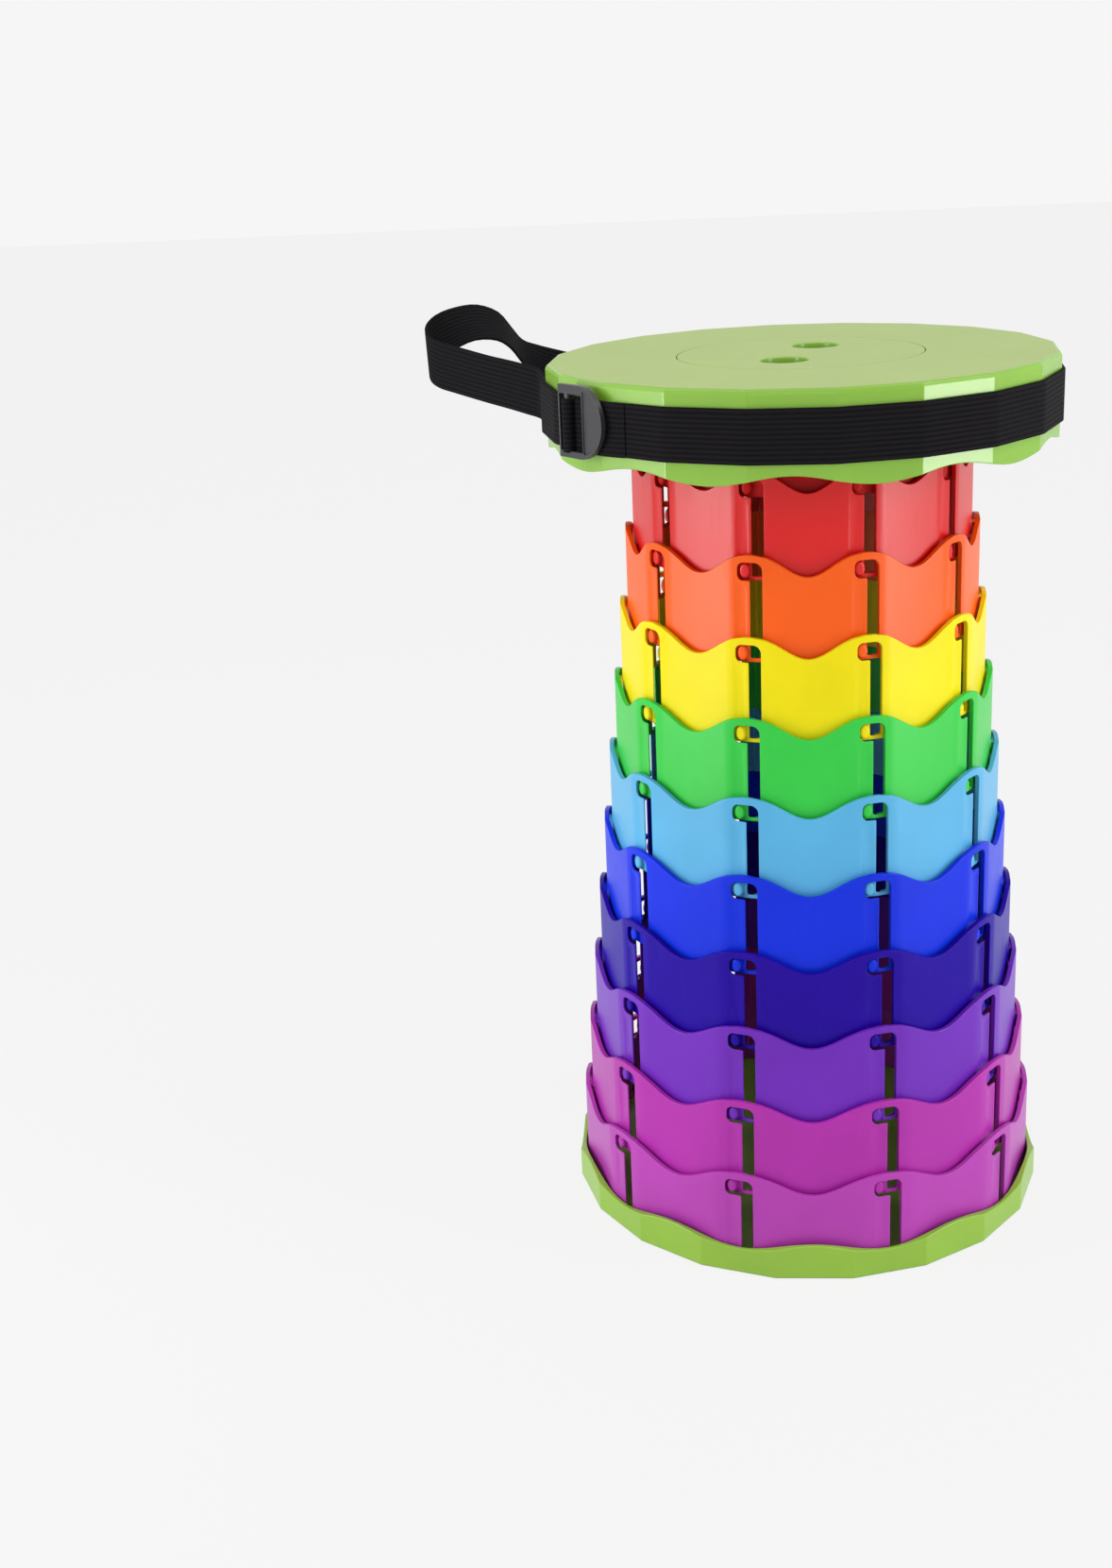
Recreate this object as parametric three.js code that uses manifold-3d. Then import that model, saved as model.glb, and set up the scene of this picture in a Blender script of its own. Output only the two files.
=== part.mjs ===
// Collapsible telescopic stool: ten nested wave-edged rings, a base tray, a twenty-sided lid
// with a belt, a webbing handle and a ladder-lock buckle.
// Millimetres, +Z up. Azimuths are measured from -Y (the front) towards +X.
import * as THREE from 'three';
import { mergeVertices } from 'three/addons/utils/BufferGeometryUtils.js';
import Module from 'manifold-3d';

const wasm = await Module();
wasm.setup();

// Clearances
const restGap = 0.3;
const cutOverrun = 1.2;
const joinOverlap = 0.6;

// Overall sizes
const acrossFlats = 250;
const sideCount = 20;
const lobeCount = 10;
const ringStep = 39;
const headroom = 1.7;
const weldDistance = 1e-4;

// Rings
const ringColors = [
  ['ring_red', 0xd0261f],
  ['ring_orange', 0xf65d1a],
  ['ring_yellow', 0xead817],
  ['ring_green', 0x3fb664],
  ['ring_light_blue', 0x5daCd7],
  ['ring_blue', 0x2141e1],
  ['ring_indigo', 0x2d149b],
  ['ring_violet', 0x6b25a9],
  ['ring_magenta_upper', 0xa630a0],
  ['ring_magenta_lower', 0xb03fab],
];
const trayClearance = 0.8;
const ringPitch = 4.05;
const ringWall = 2.5;
const ringWaveDepth = 10.8;
const ringWaveSharpness = 1.3;
const panelHalfTurn = 12;
const panelFlatness = 0.85;
const ringSteps = 60;

// Pins and the hooked slots that they run in
const pinWidth = 5.5;
const pinTall = 7.6;
const pinHeight = 5;
const pinSides = 8;
const notchPlay = 0.5;
const pinBite = 1.3;
const pinRoot = 0.8;
const slotFloor = 2;
const slotCorner = 4;
const cornerShare = Math.SQRT1_2;
const hookHalfTurn = 2;
const crownBand = 3.7;
const ringHeight = pinHeight + ringStep + pinTall / 2 + notchPlay + crownBand;
const channelDepth = 1.6;
const pocketDepth = 1.5;

// Base tray
const trayFloor = 3;
const trayWall = 2.4;
const trayValley = 14.1;
const trayPeak = 19.2;
const trayFoot = 0.8;
const panelSteps = 80;

// Lid
const lidPlate = 3;
const lidWall = 2.4;
const lidDrop = 43.8;
const lidWaveDepth = 5.1;
const lidRim = 2.2;
const lidRimFall = 2.4;
const lidRimKnee = 0.7;
const lidTurn = 4;
const hubWall = 2.5;
const ledgeWidth = 6.3;
const ledgeDepth = 3.2;
const socketWall = 1.5;
const socketDepth = 6;
const ribCount = 6;
const ribWidth = 2;
const ribDepth = 5;

// Centre disc
const discMargin = 20.3;
const discThickness = 2.5;
const discSkirt = 2.2;
const discSkirtDepth = 4.5;
const holeRadius = 11.7;
const holeOffsetShare = 0.459;
const holeTurn = 18;
const holeChamfer = 1;
const tubeWall = 1.8;
const tubeDepth = 11;
const discSteps = 48;
const holeSteps = 18;

// Webbing
const webWidth = 25;
const webThickness = 1.5;
const beltDrop = 33.3;
const layerSink = 0.15;

// Buckle
const buckleThickness = 3;
const buckleLift = 3.2;
const buckleLeft = -23.4;
const buckleShoulder = -8;
const buckleHeight = 34.1;
const buckleRail = 2.2;
const buckleBar = 3.2;
const buckleEdge = 1.1;
const barInset = 6;
const buckleLobe = 14.7;
const buckleSteps = 10;
const wrapWall = 1.2;
const eyeSteps = 16;
const tailLength = 14;
const tailStart = 3.5;
const tailRise = 1.4;

// Handle: its reach, its spread, its hinge line and the round cuts at its roots
const handleReach = 88;
const handleSpread = 100;
const handleSteps = 32;
const nearRootTurn = -92;
const farRootTurn = -125.5;
const swingTurn = -108.7;
const swingOffset = 9.2;
const swingRise = 15.3;
const rootCut = 17.7;
const rootZoneLength = 150;
const rootSteps = 32;
const quarterTurn = 90;

const radians = (degrees) => THREE.MathUtils.degToRad(degrees);
const apothem = acrossFlats / 2;
const lobeTurn = 360 / lobeCount;
const halfLobe = lobeTurn / 2;
const flatTurn = 360 / sideCount;

function place(azimuth, radius, z) {
  const angle = radians(azimuth);
  return new THREE.Vector3(radius * Math.sin(angle), -radius * Math.cos(angle), z);
}

// Axes of a local frame standing on the wall at one azimuth: right, up, outwards.
function wallFrame(azimuth) {
  const angle = radians(azimuth);
  const right = new THREE.Vector3(Math.cos(angle), Math.sin(angle), 0);
  const up = new THREE.Vector3(0, 0, 1);
  const out = new THREE.Vector3(Math.sin(angle), -Math.cos(angle), 0);
  return new THREE.Matrix4().makeBasis(right, up, out);
}

function toSolid(geometry) {
  const bare = geometry.clone();
  bare.deleteAttribute('normal');
  bare.deleteAttribute('uv');
  const merged = mergeVertices(bare, weldDistance);
  const corners = Array.from(merged.index.array);
  const kept = [];
  for (let i = 0; i < corners.length; i += 3) {
    const [a, b, c] = corners.slice(i, i + 3);
    if (a !== b && b !== c && c !== a) kept.push(a, b, c);
  }
  const triVerts = Uint32Array.from(kept);
  const vertProperties = Float32Array.from(merged.attributes.position.array);
  return new wasm.Manifold(new wasm.Mesh({ numProp: 3, vertProperties, triVerts }));
}

function toMesh(name, solid, color, roughness, metalness = 0) {
  const result = solid.getMesh();
  const geometry = new THREE.BufferGeometry();
  const stride = result.numProp;
  const points = new Float32Array(result.vertProperties.length / stride * 3);
  for (let i = 0; i < points.length / 3; i += 1) {
    points[i * 3] = result.vertProperties[i * stride];
    points[i * 3 + 1] = result.vertProperties[i * stride + 1];
    points[i * 3 + 2] = result.vertProperties[i * stride + 2];
  }
  geometry.setAttribute('position', new THREE.BufferAttribute(points, 3));
  geometry.setIndex(new THREE.BufferAttribute(Uint32Array.from(result.triVerts), 1));
  geometry.computeVertexNormals();
  const material = new THREE.MeshStandardMaterial({ color, roughness, metalness });
  const mesh = new THREE.Mesh(geometry, material);
  mesh.name = name;
  return mesh;
}

// How much of its radius a ring's wall keeps: 1 at the slots, less across the panels between them.
function panelShare(azimuth) {
  const off = ((azimuth + halfLobe) % lobeTurn) - halfLobe;
  if (Math.abs(off) >= panelHalfTurn) return 1;
  const flat = Math.cos(radians(panelHalfTurn)) / Math.cos(radians(off));
  return 1 - panelFlatness * (1 - flat);
}

// A closed section turned about Z. Each section point is [radius, z, kind]: its radius is taken
// as an apothem where kind holds 'flat', as a ring's where it holds 'panel', and its z is raised
// by wave(azimuth) where it holds 'wave'.
function turned(section, steps, wave = () => 0) {
  const points = section.map(([radius, z]) => new THREE.Vector2(radius, z));
  points.push(points[0].clone());
  const geometry = new THREE.LatheGeometry(points, steps);
  geometry.rotateX(Math.PI / 2);
  const position = geometry.attributes.position;
  const count = points.length;
  for (let i = 0; i < position.count; i += 1) {
    const kind = section[i % count % section.length][2] ?? '';
    const azimuth = Math.floor(i / count) * 360 / steps;
    if (kind.includes('flat')) {
      const off = ((azimuth + flatTurn / 2) % flatTurn) - flatTurn / 2;
      const stretch = 1 / Math.cos(radians(off));
      position.setX(i, position.getX(i) * stretch);
      position.setY(i, position.getY(i) * stretch);
    }
    if (kind.includes('panel')) {
      position.setX(i, position.getX(i) * panelShare(azimuth));
      position.setY(i, position.getY(i) * panelShare(azimuth));
    }
    if (kind.includes('wave')) {
      position.setZ(i, position.getZ(i) + wave(azimuth));
    }
  }
  return toSolid(geometry);
}

function atWall(geometry, azimuth, right, up, out) {
  geometry.translate(right, up, out);
  geometry.applyMatrix4(wallFrame(azimuth));
  return toSolid(geometry);
}

// An oval pin standing out of a wall, from its root radius to its tip radius.
function wallPin(azimuth, z, rootRadius, tipRadius) {
  const geometry = new THREE.CylinderGeometry(
    pinWidth / 2, pinWidth / 2, tipRadius - rootRadius, pinSides);
  geometry.rotateX(Math.PI / 2);
  geometry.scale(1, pinTall / pinWidth, 1);
  return atWall(geometry, azimuth, 0, z, (rootRadius + tipRadius) / 2);
}

// The hooked slot: a straight run with a rounded head that turns left into the pin's notch.
function hookedSlot(azimuth, radius, floor) {
  const half = pinWidth / 2 + restGap;
  const centre = floor + pinHeight + ringStep;
  const face = radius - (ringWall - channelDepth) / 2;
  const reach = -face * Math.sin(radians(2 * hookHalfTurn));
  const head = centre + pinTall / 2 + notchPlay;
  const heel = centre - pinTall / 2 - notchPlay;
  const bend = half * cornerShare;
  const shape = new THREE.Shape();
  shape.moveTo(-half, floor + slotFloor);
  shape.lineTo(half, floor + slotFloor);
  shape.lineTo(half, head - slotCorner);
  shape.lineTo(half - slotCorner * (1 - cornerShare), head - slotCorner * (1 - cornerShare));
  shape.lineTo(half - slotCorner, head);
  shape.lineTo(reach, head);
  shape.lineTo(reach - bend, head - half + bend);
  shape.lineTo(reach - half, head - half);
  shape.lineTo(reach - half, heel + half);
  shape.lineTo(reach - bend, heel + half - bend);
  shape.lineTo(reach, heel);
  shape.lineTo(-half, heel);
  shape.closePath();
  const depth = ringWall + 4 * cutOverrun;
  const geometry = new THREE.ExtrudeGeometry(shape, { depth, bevelEnabled: false });
  return atWall(geometry, azimuth, 0, 0, radius - ringWall - 2 * cutOverrun);
}

// The straight relief in a ring's inner face that the next pin slides down.
function pinChannel(azimuth, radius, floor) {
  const width = pinWidth + 2 * restGap;
  const top = floor + pinHeight + ringStep + pinTall / 2;
  const height = top - floor + cutOverrun;
  const depth = channelDepth + cutOverrun;
  const geometry = new THREE.BoxGeometry(width, height, depth);
  return atWall(geometry, azimuth, 0, top - height / 2, radius - ringWall + channelDepth - depth / 2);
}

function ringSolid(radius, floor) {
  const crest = floor + ringHeight;
  const inner = radius - ringWall;
  const section = [
    [inner, floor, 'panel'],
    [radius, floor, 'panel'],
    [radius, crest, 'panel wave'],
    [inner, crest, 'panel wave'],
  ];
  const wave = (azimuth) => {
    const fall = (1 + Math.cos(radians(azimuth * lobeCount))) / 2;
    return -ringWaveDepth * fall ** ringWaveSharpness;
  };
  let solid = turned(section, ringSteps, wave);
  for (let i = 0; i < lobeCount; i += 1) {
    const peak = halfLobe + i * lobeTurn;
    solid = solid.subtract(pinChannel(peak - hookHalfTurn, radius, floor));
    solid = solid.subtract(hookedSlot(peak + hookHalfTurn, radius, floor));
  }
  return solid;
}

function withPins(body, radius, z, tip) {
  let solid = body;
  for (let i = 0; i < lobeCount; i += 1) {
    const azimuth = halfLobe + i * lobeTurn - hookHalfTurn;
    solid = solid.add(wallPin(azimuth, z, radius - pinRoot, tip));
  }
  return solid;
}

const ringCount = ringColors.length;
const ringFloor = (index) => trayFloor + restGap + (ringCount - 1 - index) * ringStep;
const outerRingRadius = apothem - trayWall - trayClearance;
const ringRadius = (index) => outerRingRadius - (ringCount - 1 - index) * ringPitch;
const pinReach = ringPitch - ringWall + pinBite;
const foldedTop = trayFloor + restGap + ringHeight + headroom;
const raisedHeight = foldedTop + lidPlate + ringCount * ringStep;

const trayGroup = new THREE.Group();
trayGroup.name = 'base_and_column';

// Base tray
{
  const foot = apothem - trayFoot;
  const bore = apothem - trayWall;
  const rise = (trayPeak - trayValley) / 2;
  const middle = trayValley + rise;
  const section = [
    [0, 0, ''],
    [foot, 0, 'flat'],
    [apothem, trayFoot, 'flat'],
    [apothem, middle, 'flat wave'],
    [bore, middle, 'wave'],
    [bore, trayFloor, ''],
    [0, trayFloor, ''],
  ];
  const wave = (azimuth) => rise * Math.cos(radians(azimuth * lobeCount));
  let tray = turned(section, panelSteps, wave);
  for (let i = 0; i < lobeCount; i += 1) {
    const width = pinWidth + 2 * restGap;
    const tall = pinTall + 2 * restGap;
    const pocket = new THREE.BoxGeometry(width, tall, pocketDepth + cutOverrun);
    const azimuth = halfLobe + i * lobeTurn - hookHalfTurn;
    const out = bore + pocketDepth - (pocketDepth + cutOverrun) / 2;
    tray = tray.subtract(atWall(pocket, azimuth, 0, ringFloor(ringCount - 1) + pinHeight, out));
  }
  trayGroup.add(toMesh('base_tray', tray, 0x95b747, 0.38));
}

// The ten coloured rings
for (let index = 0; index < ringCount; index += 1) {
  const [name, color] = ringColors[index];
  const radius = ringRadius(index);
  const floor = ringFloor(index);
  const last = index === ringCount - 1;
  const tip = last ? apothem - trayWall + pocketDepth - restGap : radius + pinReach;
  const solid = withPins(ringSolid(radius, floor), radius, floor + pinHeight, tip);
  trayGroup.add(toMesh(name, solid, color, 0.32));
}

// Seat
const seatGroup = new THREE.Group();
seatGroup.name = 'seat';
const plateUnder = raisedHeight - lidPlate;
const collarRadius = ringRadius(0) - ringPitch;
const collarFloor = ringFloor(0) + ringStep;

{
  const inner = collarRadius - ringWall;
  const section = [
    [inner, collarFloor, 'panel'],
    [collarRadius, collarFloor, 'panel'],
    [collarRadius, plateUnder - restGap, 'panel'],
    [inner, plateUnder - restGap, 'panel'],
  ];
  const collar = withPins(
    turned(section, ringSteps), collarRadius, collarFloor + pinHeight, collarRadius + pinReach);
  seatGroup.add(toMesh('seat_collar', collar, 0xa8191b, 0.34));
}

const discRadius = collarRadius - discMargin;
const recessRadius = discRadius + restGap;
const ledgeTop = raisedHeight - discThickness - restGap;
const ledgeRadius = recessRadius - ledgeWidth;
const socketOuter = (collarRadius - ringWall) * panelShare(0) - restGap;

{
  const bore = apothem - lidWall;
  const middle = raisedHeight - lidDrop + lidWaveDepth / 2;
  const section = [
    [apothem, middle, 'flat wave'],
    [apothem, raisedHeight - lidRimFall, 'flat'],
    [apothem - lidRimKnee, raisedHeight - lidRimKnee, 'flat'],
    [apothem - lidRim, raisedHeight, 'flat'],
    [recessRadius, raisedHeight, ''],
    [recessRadius, plateUnder, ''],
    [bore, plateUnder, ''],
    [bore, middle, 'wave'],
  ];
  const wave = (azimuth) => lidWaveDepth / 2 * Math.cos(radians(azimuth * lobeCount));
  let lid = turned(section, panelSteps, wave);
  const ledge = [
    [ledgeRadius, ledgeTop - ledgeDepth, ''],
    [recessRadius + hubWall, ledgeTop - ledgeDepth, ''],
    [recessRadius + hubWall, ledgeTop, ''],
    [ledgeRadius, ledgeTop, ''],
  ];
  lid = lid.add(turned(ledge, discSteps));
  const socket = [
    [socketOuter - socketWall, plateUnder - socketDepth, ''],
    [socketOuter, plateUnder - socketDepth, ''],
    [socketOuter, plateUnder + joinOverlap, ''],
    [socketOuter - socketWall, plateUnder + joinOverlap, ''],
  ];
  lid = lid.add(turned(socket, discSteps));
  const ribStart = recessRadius + hubWall - joinOverlap;
  const ribEnd = socketOuter - socketWall + joinOverlap;
  for (let i = 0; i < ribCount; i += 1) {
    const rib = new THREE.BoxGeometry(ribWidth, ribDepth + joinOverlap, ribEnd - ribStart);
    const up = plateUnder + (joinOverlap - ribDepth) / 2;
    lid = lid.add(atWall(rib, i * 360 / ribCount, 0, up, (ribStart + ribEnd) / 2));
  }
  const mesh = toMesh('seat_lid', lid, 0x94b95a, 0.42);
  mesh.rotation.z = radians(-lidTurn);
  seatGroup.add(mesh);
}

// Centre disc with its two finger holes and their tubes
{
  const skirtOuter = ledgeRadius - restGap;
  const skirtFloor = raisedHeight - discThickness - discSkirtDepth;
  const plate = new THREE.CylinderGeometry(discRadius, discRadius, discThickness, discSteps);
  plate.rotateX(Math.PI / 2);
  plate.translate(0, 0, raisedHeight - discThickness / 2);
  let disc = toSolid(plate);
  const skirt = [
    [skirtOuter - discSkirt, skirtFloor, ''],
    [skirtOuter, skirtFloor, ''],
    [skirtOuter, raisedHeight - discThickness / 2, ''],
    [skirtOuter - discSkirt, raisedHeight - discThickness / 2, ''],
  ];
  disc = disc.add(turned(skirt, discSteps));
  const direction = new THREE.Vector3(Math.sin(radians(holeTurn)), Math.cos(radians(holeTurn)), 0);
  const holeOffset = discRadius * holeOffsetShare;
  for (const side of [-1, 1]) {
    const centre = direction.clone().multiplyScalar(side * holeOffset);
    const tubeSection = [
      [holeRadius, raisedHeight - tubeDepth, ''],
      [holeRadius + tubeWall, raisedHeight - tubeDepth, ''],
      [holeRadius + tubeWall, raisedHeight - discThickness / 2, ''],
      [holeRadius, raisedHeight - discThickness / 2, ''],
    ];
    const tube = turned(tubeSection, holeSteps).translate([centre.x, centre.y, 0]);
    const bore = new THREE.LatheGeometry([
      new THREE.Vector2(0, raisedHeight - tubeDepth - cutOverrun),
      new THREE.Vector2(holeRadius, raisedHeight - tubeDepth - cutOverrun),
      new THREE.Vector2(holeRadius, raisedHeight - holeChamfer),
      new THREE.Vector2(holeRadius + holeChamfer + cutOverrun, raisedHeight + cutOverrun),
      new THREE.Vector2(0, raisedHeight + cutOverrun),
    ], holeSteps);
    bore.rotateX(Math.PI / 2);
    bore.translate(centre.x, centre.y, 0);
    disc = disc.add(tube).subtract(toSolid(bore));
  }
  seatGroup.add(toMesh('seat_centre_disc', disc, 0x9abf62, 0.42));
}

// Strap: a belt round the lid, doubled from the buckle to the handle's near root
const beltFloor = raisedHeight - beltDrop;
const beltInner = apothem + restGap;
const beltOuter = beltInner + webThickness;
const beltTop = beltFloor + webWidth;
const cornerStretch = 1 / Math.cos(radians(flatTurn / 2));
const beltCorner = beltOuter * cornerStretch;
const layerMiddle = beltOuter - layerSink + webThickness / 2;
const buckleTurn = -2 * flatTurn - flatTurn / 2 - lidTurn;
const buckleStand = beltCorner + buckleLift;
const buckleMatrix = wallFrame(buckleTurn);
const barCentre = buckleLeft + barInset;
const wrapInner = buckleBar / 2 + restGap;
const wrapOuter = wrapInner + wrapWall;

const buckleSpot = (right, out) => new THREE.Vector3(right, 0, out).applyMatrix4(buckleMatrix);
const webPair = (spot) => [spot.clone().setZ(beltFloor), spot.clone().setZ(beltTop)];

// A webbing band through pairs of edge points, low edge first.
function band(pairs) {
  const last = pairs.length - 1;
  const geometry = new THREE.BoxGeometry(1, 1, 1, last, 1, 1);
  const position = geometry.attributes.position;
  for (let i = 0; i < position.count; i += 1) {
    const station = Math.round((position.getX(i) + 0.5) * last);
    const [low, high] = pairs[station];
    const before = pairs[Math.max(station - 1, 0)];
    const after = pairs[Math.min(station + 1, last)];
    const ahead = after[0].clone().add(after[1]).sub(before[0]).sub(before[1]);
    const across = high.clone().sub(low);
    const normal = ahead.cross(across).normalize();
    const point = position.getY(i) > 0 ? high.clone() : low.clone();
    point.addScaledVector(normal, position.getZ(i) * webThickness);
    position.setXYZ(i, point.x, point.y, point.z);
  }
  return toSolid(geometry);
}

// The handle's two edges from the near root to the far root, low edge first: how far out of
// the belt, how far along the hinge line and how high above the belt's lower edge.
const handleShares = [
  [-0.013, -0.299, 0.020, -0.011, -0.299, 1.024],
  [0.053, -0.234, 0.076, 0.063, -0.232, 1.100],
  [0.152, -0.200, 0.132, 0.162, -0.192, 1.152],
  [0.295, -0.147, 0.204, 0.302, -0.141, 1.212],
  [0.448, -0.088, 0.268, 0.447, -0.081, 1.260],
  [0.603, -0.028, 0.340, 0.602, -0.019, 1.332],
  [0.747, 0.019, 0.420, 0.749, 0.029, 1.412],
  [0.864, 0.058, 0.492, 0.877, 0.075, 1.484],
  [0.937, 0.094, 0.612, 0.965, 0.123, 1.592],
  [0.965, 0.139, 0.816, 1.006, 0.195, 1.768],
  [0.950, 0.200, 0.996, 0.987, 0.270, 1.936],
  [0.862, 0.256, 1.196, 0.906, 0.376, 2.052],
  [0.734, 0.291, 1.392, 0.800, 0.463, 2.064],
  [0.596, 0.314, 1.384, 0.686, 0.515, 1.880],
  [0.502, 0.303, 1.228, 0.603, 0.521, 1.540],
  [0.408, 0.280, 0.892, 0.517, 0.486, 1.300],
  [0.311, 0.276, 0.512, 0.388, 0.436, 1.220],
  [0.199, 0.306, 0.220, 0.234, 0.390, 1.148],
  [0.065, 0.359, 0.032, 0.074, 0.383, 1.044],
];

const swingOut = place(swingTurn, 1, 0);
const swingAlong = new THREE.Vector3(-swingOut.y, swingOut.x, 0).negate();

function handlePoint([outShare, alongShare, riseShare]) {
  const point = new THREE.Vector3(0, 0, beltFloor + riseShare * webWidth);
  point.addScaledVector(swingOut, beltOuter + outShare * handleReach);
  return point.addScaledVector(swingAlong, alongShare * handleSpread);
}

// Everything within the flex of the handle's roots: a round cut about the hinge line, and all
// that lies on the rim's side of it.
function rootZone(radius, setback) {
  const drum = new THREE.CylinderGeometry(radius, radius, rootZoneLength, rootSteps);
  drum.rotateZ(radians(swingTurn + quarterTurn));
  const spot = place(swingTurn, beltOuter + swingOffset, beltFloor + swingRise);
  drum.translate(spot.x, spot.y, spot.z);
  const block = new THREE.BoxGeometry(rootZoneLength, rootZoneLength, rootZoneLength);
  const out = beltOuter + swingOffset - setback - rootZoneLength / 2;
  const inboard = atWall(block, swingTurn, 0, beltFloor + swingRise, out);
  return toSolid(drum).add(inboard);
}

const strapGroup = new THREE.Group();
strapGroup.name = 'strap';

{
  const section = [
    [beltInner * cornerStretch, beltFloor, ''],
    [beltCorner, beltFloor, ''],
    [beltCorner, beltTop, ''],
    [beltInner * cornerStretch, beltTop, ''],
  ];
  let belt = turned(section, sideCount).rotate([0, 0, flatTurn / 2 - lidTurn]);

  const nearRoot = webPair(place(nearRootTurn, layerMiddle, 0));
  const farRoot = webPair(place(farRootTurn, beltOuter - webThickness / 2, 0));
  const lowKnots = handleShares.map((shares) => handlePoint(shares.slice(0, 3)));
  const highKnots = handleShares.map((shares) => handlePoint(shares.slice(3)));
  const lowCurve = new THREE.CatmullRomCurve3(
    [nearRoot[0], ...lowKnots, farRoot[0]], false, 'centripetal');
  const highCurve = new THREE.CatmullRomCurve3(
    [nearRoot[1], ...highKnots, farRoot[1]], false, 'centripetal');
  const highEdge = highCurve.getPoints(handleSteps);
  const loop = lowCurve.getPoints(handleSteps).map((low, i) => [low, highEdge[i]]);
  const loopBand = band(loop);

  // The outer layer lies on the belt's flats from the buckle's bar to the near root.
  const layer = [
    webPair(buckleSpot(barCentre, buckleStand - wrapInner - webThickness / 2)),
    webPair(place(buckleTurn - flatTurn, layerMiddle * cornerStretch, 0)),
    webPair(place(buckleTurn - 2 * flatTurn, layerMiddle * cornerStretch, 0)),
    ...loop.slice(0, 3),
  ];
  belt = belt.add(band(layer));
  belt = belt.add(loopBand.intersect(rootZone(rootCut - restGap, restGap)));

  // The outer layer ends in a loop round the buckle's bar.
  const eye = [
    [wrapInner, beltFloor, ''],
    [wrapOuter, beltFloor, ''],
    [wrapOuter, beltTop, ''],
    [wrapInner, beltTop, ''],
  ];
  const bar = buckleSpot(barCentre, buckleStand);
  belt = belt.add(turned(eye, eyeSteps).translate([bar.x, bar.y, 0]));
  const barHole = new THREE.CylinderGeometry(wrapInner, wrapInner, webWidth * 2, eyeSteps);
  barHole.rotateX(Math.PI / 2);
  barHole.translate(bar.x, bar.y, beltFloor + webWidth / 2);
  belt = belt.subtract(toSolid(barHole));
  strapGroup.add(toMesh('strap_belt', belt, 0x1c1a1b, 0.85));

  const handle = loopBand.subtract(rootZone(rootCut, 0));
  strapGroup.add(toMesh('strap_handle', handle, 0x1c1a1b, 0.85));

  // The free end of the belt comes out under the buckle's thumb lobe.
  const slope = Math.tan(radians(flatTurn / 2));
  const tailAt = (right, lift) => webPair(
    buckleSpot(right, beltCorner - right * slope + restGap + webThickness / 2 + lift));
  const tail = band([
    tailAt(tailStart, layerSink),
    tailAt(tailStart + tailLength / 2, layerSink + tailRise / 2),
    tailAt(tailStart + tailLength, layerSink + tailRise),
  ]);
  strapGroup.add(toMesh('strap_tail', tail, 0x1c1a1b, 0.85));
}

// Buckle: a D-shaped plate with one window, and a round bar across it near its straight side
{
  const floor = beltFloor - restGap - buckleRail;
  const half = buckleHeight / 2;
  const lobeStart = buckleShoulder + half - buckleLobe;
  const shape = new THREE.Shape();
  shape.moveTo(buckleLeft, floor);
  shape.absarc(buckleShoulder, floor + half, half, -Math.PI / 2, Math.PI / 2, false);
  shape.lineTo(buckleLeft, floor + buckleHeight);
  shape.closePath();
  const plate = new THREE.ExtrudeGeometry(shape, {
    depth: buckleThickness, bevelEnabled: false, curveSegments: buckleSteps,
  });
  let buckle = atWall(plate, buckleTurn, 0, 0, buckleStand - buckleThickness / 2);
  const windowStart = buckleLeft + buckleEdge;
  const windowMiddle = (windowStart + lobeStart) / 2;
  const window = new THREE.BoxGeometry(
    lobeStart - windowStart, buckleHeight - 2 * buckleRail, buckleThickness + 2 * cutOverrun);
  buckle = buckle.subtract(atWall(window, buckleTurn, windowMiddle, floor + half, buckleStand));
  const barLength = buckleHeight - buckleRail;
  const bar = new THREE.CylinderGeometry(buckleBar / 2, buckleBar / 2, barLength, eyeSteps);
  buckle = buckle.add(
    atWall(bar, buckleTurn, barCentre, floor + half, buckleStand));
  strapGroup.add(toMesh('buckle_frame', buckle, 0x2b292c, 0.4));
}

seatGroup.add(strapGroup);

const stool = new THREE.Group();
stool.name = 'telescopic_stool';
stool.add(trayGroup, seatGroup);

export default stool;
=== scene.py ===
import bpy
import bmesh
import math
from mathutils import Matrix, Vector


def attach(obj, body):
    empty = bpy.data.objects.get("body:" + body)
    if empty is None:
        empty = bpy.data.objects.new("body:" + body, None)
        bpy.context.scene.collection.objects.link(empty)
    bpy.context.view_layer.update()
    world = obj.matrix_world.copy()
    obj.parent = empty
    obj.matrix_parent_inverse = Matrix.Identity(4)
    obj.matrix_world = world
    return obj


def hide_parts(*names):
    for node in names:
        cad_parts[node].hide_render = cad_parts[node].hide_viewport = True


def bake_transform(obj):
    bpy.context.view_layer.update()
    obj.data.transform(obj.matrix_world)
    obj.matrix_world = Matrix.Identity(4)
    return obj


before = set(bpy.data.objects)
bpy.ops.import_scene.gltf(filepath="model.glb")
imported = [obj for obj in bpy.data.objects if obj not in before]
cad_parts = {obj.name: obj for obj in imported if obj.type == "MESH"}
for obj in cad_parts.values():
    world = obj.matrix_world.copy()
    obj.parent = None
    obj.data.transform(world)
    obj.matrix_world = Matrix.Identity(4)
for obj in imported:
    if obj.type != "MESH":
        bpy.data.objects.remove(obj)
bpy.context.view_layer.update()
turnOf = math.radians
print("frame loaded:", len(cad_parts), "CAD pieces")

# Metres, +Z up. Azimuths are in degrees and run from the front (-Y) towards +X.
hair = 1e-5  # places nearer than this count as one
mostly = 0.9  # a direction follows an axis when its share along it is more than this
crests = 10  # slots, pins and waves round every ring
tenth = 360 / crests
flats = 20  # sides of the seat, the belt and the tray
halfFlat = 180 / flats
flatCuts = 7  # cuts in each flat where its edge is waved
flatAngle = 14  # rounds the corners between flats, which turn by 18 degrees


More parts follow.
